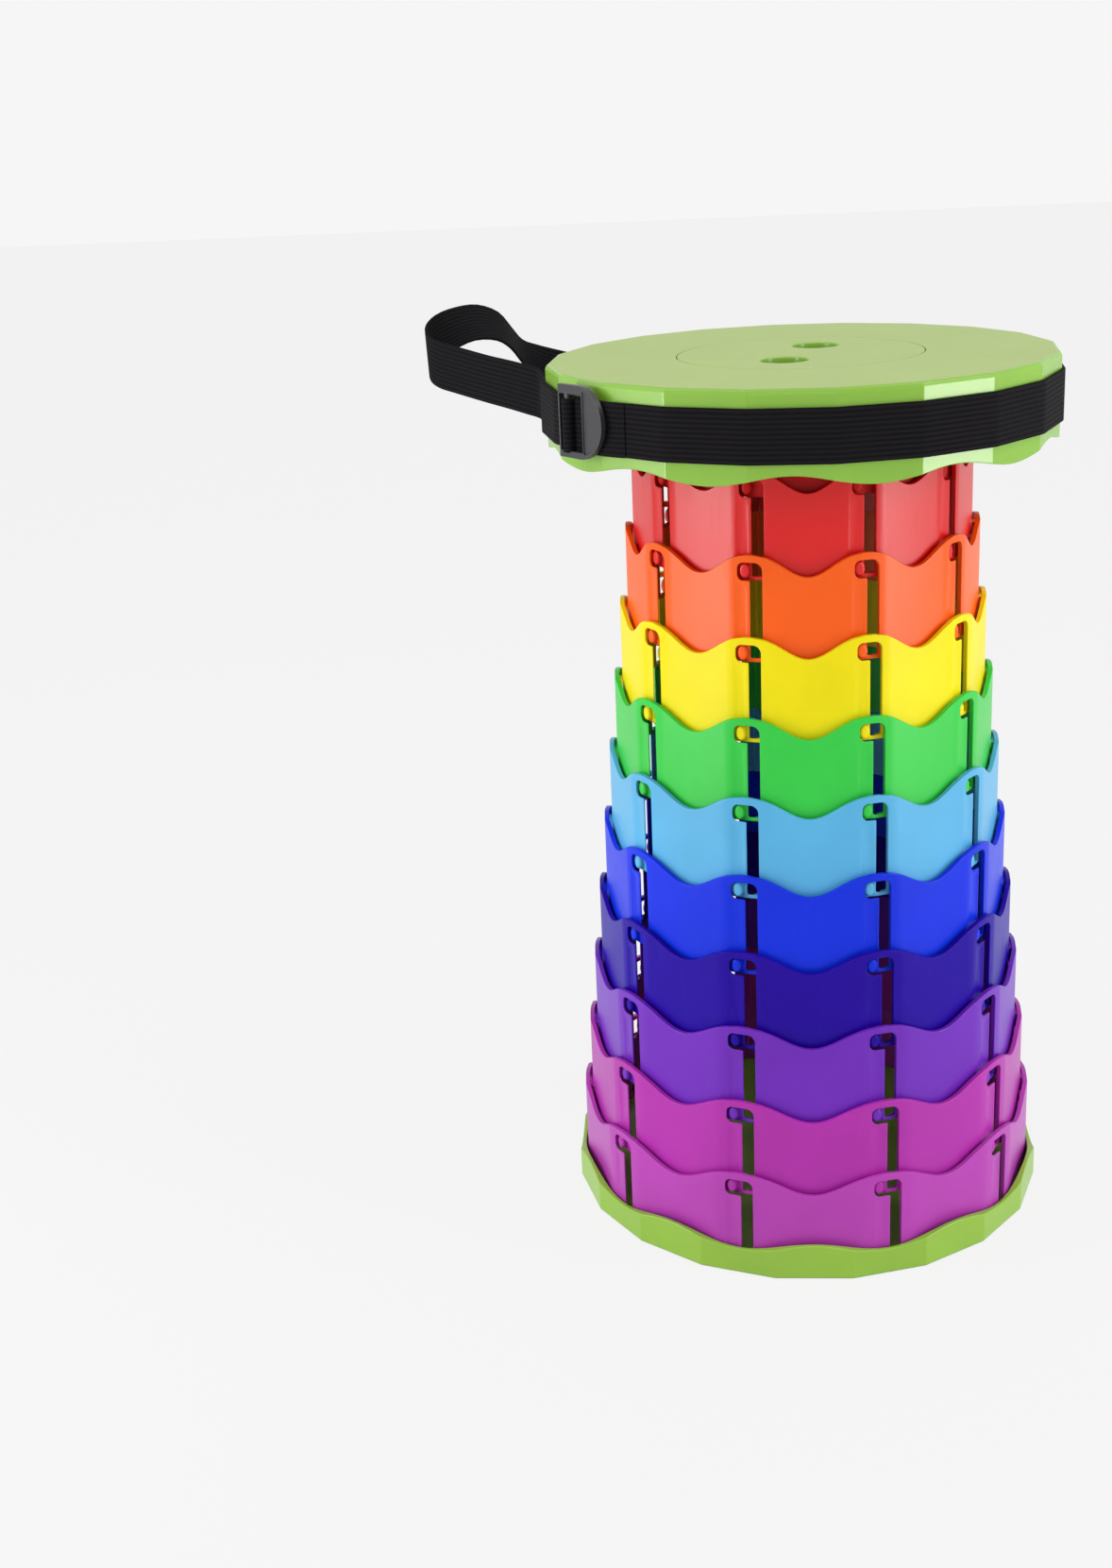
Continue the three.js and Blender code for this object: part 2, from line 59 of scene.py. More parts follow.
def wallSpot(azimuth, radius, z):
    turn = turnOf(azimuth)
    return Vector((radius * math.sin(turn), -radius * math.cos(turn), z))


def flatReach(apothem, off=0.0):  # how far out a flat is, off degrees away from its corner
    return apothem / math.cos(turnOf(halfFlat - off))


def letGo():
    if bpy.context.object and bpy.context.object.mode == 'EDIT':
        bpy.ops.object.mode_set(mode='OBJECT')
    bpy.ops.object.select_all(action='DESELECT')


def takeUp(piece):  # makes one piece the only selected and active one
    letGo()
    piece.select_set(True)
    bpy.context.view_layer.objects.active = piece


def settle(piece):  # puts the place, turn and scale into the mesh
    takeUp(piece)
    bpy.ops.object.transform_apply(location=True, rotation=True, scale=True)
    return piece


def block(size, at):
    letGo()
    bpy.ops.mesh.primitive_cube_add(size=1, location=at)
    bpy.context.object.scale = size
    return settle(bpy.context.object)


def drum(radius, depth, at, sides=32, along='Z', fill='NGON'):
    letGo()
    turn = {'Z': (0, 0, 0), 'Y': (math.pi / 2, 0, 0)}[along]
    bpy.ops.mesh.primitive_cylinder_add(vertices=sides, radius=radius, depth=depth, location=at,
                                        rotation=turn, end_fill_type=fill)
    return settle(bpy.context.object)


def startEdit(piece, kind='FACE', everything=False):
    takeUp(piece)
    bpy.ops.object.mode_set(mode='EDIT')
    bpy.ops.mesh.select_mode(type=kind)
    bpy.ops.mesh.select_all(action='SELECT' if everything else 'DESELECT')


def endEdit():
    bpy.ops.object.mode_set(mode='OBJECT')


# Selects what passes the test, which takes a place, and a direction for edges and faces.
def pick(kind, test):
    bpy.ops.mesh.select_mode(type=kind)
    bpy.ops.mesh.select_all(action='DESELECT')
    data = bmesh.from_edit_mesh(bpy.context.object.data)
    if kind == 'VERT':
        hits = [v for v in data.verts if test(v.co)]
    elif kind == 'EDGE':
        hits = [e for e in data.edges
                if test((e.verts[0].co + e.verts[1].co) / 2,
                        (e.verts[1].co - e.verts[0].co).normalized())]
    else:
        hits = [f for f in data.faces if test(f.calc_center_median(), f.normal)]
    for hit in hits:
        hit.select = True
    data.select_flush_mode()
    bmesh.update_edit_mesh(bpy.context.object.data)
    return len(hits)


def sliceAt(at, facing):
    bpy.ops.mesh.select_all(action='SELECT')
    bpy.ops.mesh.bisect(plane_co=at, plane_no=facing, use_fill=False)


def keepBeyond(x):  # cuts off what lies below x and closes the cut
    bpy.ops.mesh.bisect(plane_co=(x, 0, 0), plane_no=(1, 0, 0), use_fill=True, clear_inner=True)


def nudge(x=0.0, y=0.0, z=0.0):
    bpy.ops.transform.translate(value=(x, y, z))


def stretch(x=1.0, y=1.0, z=1.0, **about):
    bpy.ops.transform.resize(value=(x, y, z), **about)


def pullOut(x=0.0, y=0.0, z=0.0):
    bpy.ops.mesh.extrude_region_move(TRANSFORM_OT_translate={"value": (x, y, z)})


def roundOff(offset, segments):
    bpy.ops.mesh.bevel(offset=offset, segments=segments, affect='EDGES')


def modify(piece, kind, **settings):
    takeUp(piece)
    mod = piece.modifiers.new(kind.lower(), kind)
    for key, value in settings.items():
        setattr(mod, key, value)
    bpy.ops.object.modifier_apply(modifier=mod.name)


def carve(piece, tool, how='DIFFERENCE'):
    modify(piece, 'BOOLEAN', operation=how, object=tool, solver='EXACT')
    bpy.data.objects.remove(tool, do_unlink=True)


def joinAll(pieces):
    letGo()
    for piece in pieces:
        piece.select_set(True)
    bpy.context.view_layer.objects.active = pieces[0]
    if len(pieces) > 1:
        bpy.ops.object.join()
    return bpy.context.object


def faceOut(piece):
    startEdit(piece, everything=True)
    bpy.ops.mesh.normals_make_consistent(inside=False)
    endEdit()


def roundEdges(piece, width, steps=2, angle=32):
    takeUp(piece)
    bpy.ops.object.shade_smooth_by_angle(angle=turnOf(angle))
    modify(piece, 'BEVEL', width=width, segments=steps, limit_method='ANGLE',
           angle_limit=turnOf(angle), use_clamp_overlap=False, harden_normals=True,
           miter_outer='MITER_ARC')


def finishPiece(piece, name, slotName, finish, *hides):
    settle(piece)
    piece.name = name
    piece.data.name = name
    piece.data.materials.clear()
    piece.data.materials.append(finish)
    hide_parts(*hides)
    return piece


class Wire:  # a shader socket that takes part in plain sums
    def __init__(self, tree, socket):
        self.tree, self.socket = tree, socket

    def maths(self, kind, other=None, flip=False):
        node = self.tree.nodes.new('ShaderNodeMath')
        node.operation = kind
        for place, item in enumerate([other, self] if flip else [self, other]):
            if isinstance(item, Wire):
                self.tree.links.new(item.socket, node.inputs[place])
            elif item is not None:
                node.inputs[place].default_value = item
        return Wire(self.tree, node.outputs[0])

    def __add__(self, other): return self.maths('ADD', other)
    def __radd__(self, other): return self.maths('ADD', other)
    def __sub__(self, other): return self.maths('SUBTRACT', other)
    def __rsub__(self, other): return self.maths('SUBTRACT', other, True)
    def __mul__(self, other): return self.maths('MULTIPLY', other)
    def __rmul__(self, other): return self.maths('MULTIPLY', other)
    def __gt__(self, other): return self.maths('GREATER_THAN', other)
    def __abs__(self): return self.maths('ABSOLUTE')
    def sine(self): return self.maths('SINE')
    def angleTo(self, other): return self.maths('ARCTAN2', other)


def seenRays(tree):  # 1 for rays from the camera, off a gloss or through a clear surface
    ray = tree.nodes.new('ShaderNodeLightPath')
    camera, glossy, clear = (Wire(tree, ray.outputs['Is ' + kind + ' Ray'])
                             for kind in ('Camera', 'Glossy', 'Transmission'))
    return camera + glossy + clear


class Finish:  # a material and the nodes that make it
    def __init__(self, name):
        self.material = bpy.data.materials.new(name)
        self.material.use_nodes = True
        self.tree = self.material.node_tree
        self.shader = self.tree.nodes['Principled BSDF']
        self.out = self.tree.nodes['Material Output']

    # i3=... feeds input 3, counted from 0, and Name=... feeds the input of that name.
    def node(self, kind, settings=None, out=0, **values):
        made = self.tree.nodes.new(kind)
        for key, value in (settings or {}).items():
            setattr(made, key, value)
        for key, value in values.items():
            self.feed(made, key.replace('_', ' '), value)
        return Wire(self.tree, made.outputs[out])

    def feed(self, made, key, value):
        numbered = key[0] == 'i' and key[1:].isdigit()
        socket = made.inputs[int(key[1:]) if numbered else key]
        if isinstance(value, Wire):
            self.tree.links.new(value.socket, socket)
        else:
            socket.default_value = value

    def set(self, **values):
        for key, value in values.items():
            self.feed(self.shader, key.replace('_', ' '), value)

    def place(self):
        return self.node('ShaderNodeTexCoord', out=3)

    def axes(self, vector):
        node = self.tree.nodes.new('ShaderNodeSeparateXYZ')
        self.tree.links.new(vector.socket, node.inputs[0])
        return [Wire(self.tree, socket) for socket in node.outputs]

    def noise(self, vector, scale, detail=3.0, rough=0.55):
        return self.node('ShaderNodeTexNoise', Vector=vector, Scale=scale, Detail=detail,
                         Roughness=rough)

    def blend(self, factor, low, high):
        return self.node('ShaderNodeMix', {'data_type': 'RGBA'}, out=2, i0=factor, i6=low,
                         i7=high)

    def span(self, value, low, high, newLow=0.0, newHigh=1.0):
        return self.node('ShaderNodeMapRange', {'clamp': True}, i0=value, i1=low, i2=high,
                         i3=newLow, i4=newHigh)

    def bump(self, height, strength, distance):
        self.set(Normal=self.node('ShaderNodeBump', Height=height, Strength=strength,
                                  Distance=distance))


def toLinear(*colour):  # from screen values, 0 to 255
    return tuple((c / 255) / 12.92 if c <= 10 else ((c / 255 + 0.055) / 1.055) ** 2.4
                 for c in colour) + (1,)


def shade(colour, factor, lift=0.0):
    return tuple(min(1, c * factor + lift) for c in colour[:3]) + (1,)


# Moulded plastic: a little flow mottle, fine scuffs that roughen it, and a slight orange peel.
plasticLook = dict(
    flowScale=18, flowDetail=4.0, flowBand=(0.3, 0.7), flowDark=0.92, flowLight=1.05,
    glossBand=(0.25, 0.75), glossier=0.03, duller=0.04,
    scuffScale=260, scuffDetail=5.0, scuffCoarse=0.65, scuffStretch=(1.0, 1.0, 0.22),
    scuffBand=(0.56, 0.74), scuffTone=0.05, scuffDark=0.9, scuffLift=0.08, scuffRough=0.10,
    peelScale=420, peelDetail=2.0, peelStrength=0.25, peelDepth=0.0002)


def mouldedPlastic(name, colour, rough=0.34, shine=0.15):
    f = Finish(name)
    look = plasticLook
    at = f.place()
    base = toLinear(*colour)
    flow = f.noise(at, look['flowScale'], look['flowDetail'])
    tint = f.blend(f.span(flow, *look['flowBand']), shade(base, look['flowDark']),
                   shade(base, look['flowLight']))
    streaks = f.node('ShaderNodeMapping', i0=at, i3=look['scuffStretch'])
    scuffs = f.noise(streaks, look['scuffScale'], look['scuffDetail'], look['scuffCoarse'])
    rubbed = f.span(scuffs, *look['scuffBand'])
    worn = shade(base, look['scuffDark'], look['scuffLift'])
    f.set(Base_Color=f.blend(rubbed * look['scuffTone'], tint, worn), Specular_IOR_Level=shine)
    gloss = f.span(flow, *look['glossBand'], rough - look['glossier'], rough + look['duller'])
    f.set(Roughness=gloss + rubbed * look['scuffRough'])
    peel = f.noise(at, look['peelScale'], look['peelDetail'])
    f.bump(peel, look['peelStrength'], look['peelDepth'])
    return f.material


# The seat's plastic: satin sides, and from topZ up a matt face with a fine sandy grain. The face's
# paler, greyer colour is partly the plastic's own and partly painted reflection, standing in for
# the white sheen the grained face shows at a grazing view.
seatLook = dict(
    side=(130, 180, 48), sideDark=0.94, sideLight=1.04, sideRough=0.24, sideGrain=0.15,
    # top is paler and greyer than side: partly the face's own colour, partly painted reflection
    top=(161, 183, 98), topDark=0.96, topLight=1.03, topRough=0.5, topGrain=0.85, topZ=0.4498,
    flowRough=0.05, shine=0.7, grainScale=1300, grainDetail=2.0, grainCoarse=0.6,
    grainBand=(0.35, 0.65), speckle=0.16, speckleLight=1.2, speckleLift=0.12,
    grainStrength=0.5, grainDepth=0.0003)


def grainedPlastic(name):
    f = Finish(name)
    look = seatLook
    at = f.place()
    face = f.axes(at)[2] > look['topZ']
    flow = f.noise(at, plasticLook['flowScale'], plasticLook['flowDetail'])
    grain = f.noise(at, look['grainScale'], look['grainDetail'], look['grainCoarse'])
    side, top = toLinear(*look['side']), toLinear(*look['top'])
    cloud = f.span(flow, *plasticLook['flowBand'])
    sideTint = f.blend(cloud, shade(side, look['sideDark']), shade(side, look['sideLight']))
    # the top's paler tint is partly painted reflection of the white surroundings
    topTintWithSheen = f.blend(cloud, shade(top, look['topDark']), shade(top, look['topLight']))
    topTintWithSheen = f.blend(f.span(grain, *look['grainBand']) * look['speckle'], topTintWithSheen,
                      shade(top, look['speckleLight'], look['speckleLift']))
    f.set(Base_Color=f.blend(face, sideTint, topTintWithSheen), Specular_IOR_Level=look['shine'])
    f.set(Roughness=look['sideRough'] + face * (look['topRough'] - look['sideRough'])
          + flow * look['flowRough'])
    f.bump(grain * (look['sideGrain'] + face * look['topGrain']), look['grainStrength'],
           look['grainDepth'])
    return f.material


# Ribbed webbing: cords run along the strap, fine cross threads between them, duller selvedges. The
# crowns of cords and threads are painted lighter and the valleys between them painted dark, as
# painted highlight and shade over the bump.
webLook = dict(
    ribs=11, thread=0.0009, width=0.025, radius=0.127,
    # valley is painted shade between the cords, crown a painted highlight on them
    valley=(7, 6, 7), crown=(28, 26, 29), worn=(26, 24, 26), selvedge=(15, 14, 15),
    cordBand=(0.2, 0.95), cordShading=0.66, weftShading=0.10, fuzzTone=0.24,
    fuzzScale=900.0, fuzzDetail=4.0, fuzzCoarse=0.7,
    cloudScale=40.0, cloudBand=(0.35, 0.75), cloudTone=0.3, edgeBand=(0.465, 0.5), edgeTone=0.7,
    rough=0.9, cordGloss=0.08, sheen=0.02, sheenRough=0.4, shine=0.08,
    cordHeight=0.8, weftHeight=0.2, fuzzHeight=0.25, strength=0.7, depth=0.0004)


def webbing(name, low=None, reach=None):
    f = Finish(name)
    look = webLook
    width = look['width']
    if reach:  # along and across from the strip's own UV map, reach metres long
        along, across, _ = f.axes(f.node('ShaderNodeUVMap', {'uv_map': 'strip'}))
        along, across = along * reach, across * width
    else:  # round the lid, and up from the belt's lower edge
        x, y, z = f.axes(f.place())
        along, across = y.angleTo(x) * look['radius'], z - low
    cord = abs((across * (math.pi * look['ribs'] / width)).sine())
    weft = (along * (2 * math.pi / look['thread'])).sine() * 0.5 + 0.5
    fuzz = f.noise(f.place(), look['fuzzScale'], look['fuzzDetail'], look['fuzzCoarse'])
    cloud = f.noise(f.place(), look['cloudScale'])
    # painted light and shade: crowns of cords and threads lighter, valleys darker; the fuzz adds
    # random tone
    lit = (f.span(cord, *look['cordBand']) * look['cordShading'] + weft * look['weftShading']
           + fuzz * look['fuzzTone'])
    tone = f.blend(lit, toLinear(*look['valley']), toLinear(*look['crown']))
    tone = f.blend(f.span(cloud, *look['cloudBand']) * look['cloudTone'], tone,
                   toLinear(*look['worn']))
    edgeLow, edgeHigh = (share * width for share in look['edgeBand'])
    edge = f.span(abs(across - width / 2), edgeLow, edgeHigh)
    tone = f.blend(edge * look['edgeTone'], tone, toLinear(*look['selvedge']))
    f.set(Base_Color=tone, Roughness=look['rough'] - cord * look['cordGloss'],
          Sheen_Weight=look['sheen'], Sheen_Roughness=look['sheenRough'],
          Specular_IOR_Level=look['shine'])
    f.bump(cord * look['cordHeight'] + weft * look['weftHeight'] + fuzz * look['fuzzHeight'],
           look['strength'], look['depth'])
    return f.material


# The nested rings. hook is half the angle between a pin and the slot beside it, in degrees.
rings = dict(
    drop=0.039, outer=0.1218, pitch=0.00405, floor=0.0033, wall=0.0025, height=0.052,
    edge=0.0004, edgeAngle=30, weld=0.00002, rough=0.33,
    wave=0.0108, sharp=1.3, flatness=0.85, panelHalf=12.0, panelSteps=8, crestSteps=[1.2, 5.0],
    hook=2.0, pinWide=0.00275, pinTall=0.0038, pinRise=0.005, pinReach=0.00285,
    lastReach=0.002, pinCrown=0.0015, pinSink=0.0006, pinSides=24, crownSteps=5,
    gap=0.0003, play=0.0005, slotFloor=0.002, slotCut=0.014, slotCutAt=0.001,
    headRound=0.004, neckRound=0.003, heelRound=0.0007, footRound=0.0009, roundSteps=7,
    channel=0.0016, channelSide=0.004, channelTop=0.00525, channelCut=0.006, channelLow=0.002,
    grooveIn=0.00755, grooveHalf=0.0026, grooveDepth=0.00022, grooveTop=0.0375,
    grooveSlope=0.0005, grooveLow=0.003, grooveRound=0.98, grooveSteps=8)

ringTints = [  # from the top ring down: node, colour, shine
    ('ring_red', (219, 7, 6), 0.50),
    ('ring_orange', (247, 93, 2), 0.34),
    ('ring_yellow', (238, 221, 16), 0.16),
    ('ring_green', (47, 198, 66), 0.36),
    ('ring_light_blue', (84, 173, 219), 0.38),
    ('ring_blue', (8, 45, 218), 0.20),
    ('ring_indigo', (36, 3, 152), 0.12),
    ('ring_violet', (108, 34, 180), 0.30),
    ('ring_magenta_upper', (172, 40, 164), 0.32),
    ('ring_magenta_lower', (177, 60, 173), 0.30)]


def panelDip(azimuth, radius):  # how far the wall stands in from its circle
    off = (azimuth % tenth) - tenth / 2
    if abs(off) >= rings['panelHalf']:
        return 0.0
    bow = 1 - math.cos(turnOf(rings['panelHalf'])) / math.cos(turnOf(off))
    return radius * rings['flatness'] * bow


def crestFall(azimuth):  # how far the waved edge lies under its crest
    return rings['wave'] * ((1 - math.cos(turnOf(azimuth * crests))) / 2) ** rings['sharp']


def reliefTool(turn, floor):  # the next ring's pins slide down this cut in the inner face
    low = floor - rings['channelLow']
    high = floor + rings['pinRise'] + rings['drop'] + rings['channelTop']
    left, right = -rings['hook'] * turn - rings['channelSide'], rings['hook'] * turn
    y = rings['wall'] - rings['channel'] + rings['channelCut'] / 2
    return block((right - left, rings['channelCut'], high - low),
                 ((left + right) / 2, y, (high + low) / 2))


def hookTool(turn, floor):  # the hooked slot: an upright with a rounded head left round the pin
    half, play = rings['pinWide'] + rings['gap'], rings['pinTall'] + rings['play']
    slotX, notchX = rings['hook'] * turn, -rings['hook'] * turn
    centre = floor + rings['pinRise'] + rings['drop']
    low, heel, high = floor + rings['slotFloor'], centre - play, centre + play
    tool = block((2 * half, rings['slotCut'], high - low),
                 (slotX, rings['slotCutAt'], (low + high) / 2))
    startEdit(tool)
    sliceAt((0, 0, heel), (0, 0, 1))
    pick('FACE', lambda c, n: n.x < -mostly and c.z > heel)
    pullOut(x=notchX - slotX)
    corners = [
        (slotX + half, high, 'headRound'), (notchX - half, high, 'neckRound'),
        (notchX - half, heel, 'neckRound'), (slotX - half, heel, 'heelRound'),
        (slotX - half, low, 'footRound'), (slotX + half, low, 'footRound')]
    for x, z, size in corners:
        pick('EDGE', lambda c, d: abs(d.y) > mostly and abs(c.x - x) < hair and abs(c.z - z) < hair)
        roundOff(rings[size], rings['roundSteps'])
    endEdit()
    return tool


def grooveTool(turn, floor):  # a shallow round-topped groove with soft sides, left of the slot
    half, depth = rings['grooveHalf'], rings['grooveDepth']
    x = rings['hook'] * turn - rings['grooveIn']
    low, high = floor - rings['grooveLow'], floor + rings['grooveTop']
    tool = block((2 * half, 4 * depth, high - low), (x, -depth, (low + high) / 2))
    startEdit(tool)
    pick('EDGE', lambda c, d: abs(d.y) > mostly and c.z > floor)
    roundOff(half * rings['grooveRound'], rings['grooveSteps'])
    pick('FACE', lambda c, n: n.y < -mostly)
    grow = 4 * rings['grooveSlope']
    stretch(x=1 + grow / half, z=1 + 2 * grow / (high - low),
            center_override=(x, -3 * depth, (low + high) / 2))
    endEdit()
    return tool


def makePin(turn, floor, reach):  # an oval pin with a crowned end
    sink = rings['pinSink']
    at = (-rings['hook'] * turn, (sink - reach) / 2, floor + rings['pinRise'])
    pin = drum(rings['pinWide'], reach + sink, at, rings['pinSides'], 'Y')
    startEdit(pin, everything=True)
    stretch(z=rings['pinTall'] / rings['pinWide'])
    pick('FACE', lambda c, n: n.y < -mostly)
    roundOff(rings['pinCrown'], rings['crownSteps'])
    endEdit()
    return pin


# One tenth of a ring laid flat, its crest at x 0 and its outer face at y 0.
def flatTenth(radius, turn, floor, height, waved):
    wall = rings['wall']
    slab = block((tenth * turn, wall, height), (0, wall / 2, floor + height / 2))
    startEdit(slab)
    panelStart = tenth / 2 - rings['panelHalf']
    steps = rings['crestSteps'] + [panelStart + i * rings['panelHalf'] / rings['panelSteps']
                                   for i in range(rings['panelSteps'] + 1)]
    azimuths = [-s for s in reversed(steps)] + steps
    for azimuth in azimuths[1:-1]:
        sliceAt((azimuth * turn, 0, 0), (1, 0, 0))
    for azimuth in azimuths:
        x, dip = azimuth * turn, panelDip(azimuth, radius)
        if waved:
            pick('VERT', lambda c: abs(c.x - x) < hair and c.z > floor + height - hair)
            nudge(z=-crestFall(azimuth))
        if dip:
            pick('VERT', lambda c: abs(c.x - x) < hair)
            nudge(y=dip)
    endEdit()
    return slab


def bendRound(slab, turn, radius):  # ten tenths in a row, bent to a ring
    end = tenth / 2 * turn
    startEdit(slab)
    pick('FACE', lambda c, n: abs(abs(c.x) - end) < hair and abs(n.x) > mostly)
    bpy.ops.mesh.delete(type='FACE')
    endEdit()
    modify(slab, 'ARRAY', count=crests, use_relative_offset=False, use_constant_offset=True,
           constant_offset_displace=(tenth * turn, 0, 0), use_merge_vertices=True,
           merge_threshold=rings['weld'])
    startEdit(slab, 'VERT', True)
    nudge(x=(1 - crests) * (tenth / 2) * turn)
    endEdit()
    modify(slab, 'SIMPLE_DEFORM', deform_method='BEND', deform_axis='Z', angle=2 * math.pi)
    startEdit(slab, 'VERT', True)
    nudge(y=-radius)
    bpy.ops.mesh.remove_doubles(threshold=rings['weld'])
    bpy.ops.mesh.normals_make_consistent(inside=False)
    endEdit()


def makeRing(radius, floor, reach, slotted=True, top=None):
    turn = turnOf(1) * radius  # the length of one degree on the outer face
    height = top - floor if top else rings['height']
    slab = flatTenth(radius, turn, floor, height, slotted)
    if slotted:
        carve(slab, reliefTool(turn, floor))
        carve(slab, grooveTool(turn, floor))
        carve(slab, hookTool(turn, floor))
    carve(slab, makePin(turn, floor, reach), 'UNION')
    bendRound(slab, turn, radius)
    roundEdges(slab, rings['edge'], 2, rings['edgeAngle'])
    return slab


for place, (name, tint, shine) in enumerate(ringTints):
    low = len(ringTints) - 1 - place
    ring = makeRing(rings['outer'] - low * rings['pitch'], rings['floor'] + low * rings['drop'],
                    rings['pinReach'] if low else rings['lastReach'])
    plastic = mouldedPlastic(name + ' plastic', tint, rings['rough'], shine)
    finishPiece(ring, name + '_shell', name, plastic, name)
    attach(ring, name if low else 'base')
print("rings made")

# The collar's red is darker than the top ring's red: the red is the collar's own, and the extra
# darkness is painted shade for the shade under the seat, where the collar shows.
collarLook = dict(tint=(190, 16, 16), rough=0.36, top=0.4467)
above = len(ringTints)
collar = makeRing(rings['outer'] - above * rings['pitch'], rings['floor'] + above * rings['drop'],
                  rings['pinReach'], slotted=False, top=collarLook['top'])
plastic = mouldedPlastic('collar plastic', collarLook['tint'], collarLook['rough'])
finishPiece(collar, 'collar_shell', 'seat_collar', plastic, 'seat_collar')
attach(collar, 'seat')
print("collar made")


def sidedLoop(apothem, z, turned, cuts=flatCuts):  # a flat's middle lies at turned
    letGo()
    bpy.ops.mesh.primitive_circle_add(
        vertices=flats, radius=flatReach(apothem), location=(0, 0, z),
        rotation=(0, 0, turnOf(halfFlat + turned)))
    loop = settle(bpy.context.object)
    startEdit(loop, 'EDGE', True)
    if cuts:
        bpy.ops.mesh.subdivide(number_cuts=cuts)
        bpy.ops.mesh.select_mode(type='VERT')
        bpy.ops.mesh.select_all(action='SELECT')
    return loop


def roundTo(radius):  # draws the selected loop into a circle
    bpy.ops.transform.tosphere(value=1.0)
    data = bmesh.from_edit_mesh(bpy.context.object.data)
    reach = [v.co.xy.length for v in data.verts if v.select]
    scale = radius / (sum(reach) / len(reach))
    stretch(scale, scale)


def drawOn(rise, sides=None, ring=None):  # extrudes the loop up, and to new flats or a circle
    pullOut(z=rise)
    if sides:
        scale = sides[1] / sides[0]
        stretch(scale, scale)
    if ring:
        roundTo(ring)


def waveEdge(z, turned, rise):  # lifts the loops at this height into a wave
    steps = 2 * (flatCuts + 1)  # edges from crest to crest
    near = 0.4 * tenth / steps
    for step in range(steps + 1):
        off = step * tenth / steps

        def there(c):
            azimuth = math.degrees(math.atan2(c.x, -c.y)) - turned
            return abs(c.z - z) < 2 * hair and abs(((azimuth + tenth / 2) % tenth) - off) < near

        if pick('VERT', there):
            nudge(z=rise * math.cos(turnOf((off - tenth / 2) * crests)))


lid = dict(
    apothem=0.125, top=0.45, plate=0.003, wall=0.0024, drop=0.0438, wave=0.0051, turn=-4.0,
    rim=0.0022, rimFall=0.0024, knee=0.0007, margin=0.012, skirtBand=0.002, edge=0.0005,
    recess=0.0613, ledge=0.0552, ledgeTop=0.4472, ledgeLow=0.444, hub=0.0638,
    socket=0.0767, socketWall=0.0015, socketDrop=0.006, socketSides=96, sink=0.0004,
    rib=0.002, ribDrop=0.005, ribs=6, ribGap=0.0002, ribIn=0.0005, ribEdge=0.0003)


def makeLid():
    a, top, under = lid['apothem'], lid['top'], lid['top'] - lid['plate']
    mid = top - lid['drop'] + lid['wave'] / 2
    shell = sidedLoop(a, mid, lid['turn'])
    drawOn(top - lid['rimFall'] - mid)
    drawOn(lid['rimFall'] - lid['knee'], sides=(a, a - lid['knee']))
    drawOn(lid['knee'], sides=(a - lid['knee'], a - lid['rim']))
    drawOn(0, sides=(a - lid['rim'], a - lid['rim'] - lid['margin']))
    drawOn(0, ring=lid['recess'])
    drawOn(lid['ledgeTop'] - top)
    drawOn(0, ring=lid['ledge'])
    drawOn(lid['ledgeLow'] - lid['ledgeTop'])
    drawOn(0, ring=lid['hub'])
    drawOn(under - lid['ledgeLow'])
    drawOn(0, ring=a - lid['wall'] - lid['skirtBand'])
    drawOn(0, ring=a - lid['wall'])
    drawOn(mid - under)
    pick('EDGE', lambda c, d: abs(c.z - mid) < hair)
    bpy.ops.mesh.bridge_edge_loops()
    waveEdge(mid, lid['turn'], lid['wave'] / 2)
    endEdit()
    faceOut(shell)
    roundEdges(shell, lid['edge'], 2, flatAngle)
    # the collar's socket and the ribs under the plate
    socket, hub, sink = lid['socket'], lid['hub'], lid['sink']
    sleeveMid = under - lid['socketDrop'] / 2 + sink
    sleeve = drum(socket, lid['socketDrop'] + 2 * sink, (0, 0, sleeveMid), lid['socketSides'],
                  fill='NOTHING')
    modify(sleeve, 'SOLIDIFY', thickness=lid['socketWall'], offset=-1)
    extras = [sleeve]
    for i in range(lid['ribs']):
        rib = block((lid['rib'], socket - hub - lid['ribGap'], lid['ribDrop'] + 2 * sink),
                    (0, -(hub + socket) / 2 + lid['ribIn'], under - lid['ribDrop'] / 2 + sink))
        rib.rotation_euler = (0, 0, turnOf(i * 360 / lid['ribs'] + lid['turn']))
        extras.append(settle(rib))
    for extra in extras:
        roundEdges(extra, lid['ribEdge'])
    return joinAll([shell] + extras)


lidShell = makeLid()
finishPiece(lidShell, 'lid_shell', 'seat_lid', grainedPlastic('lid plastic'), 'seat_lid')
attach(lidShell, 'seat')
print("lid made")

disc = dict(
    radius=0.061, thick=0.0025, sides=160, chamfer=0.001, chamferSteps=4, edge=0.0006,
    edgeSteps=3, edgeAngle=40,
    hole=0.0117, offset=0.028, turn=18.0, tubeWall=0.0018, tubeLow=0.439, tubeSides=64,
    skirt=0.0547, skirtWall=0.0022, skirtLow=0.443, skirtSides=128, sink=0.001, cut=0.02)


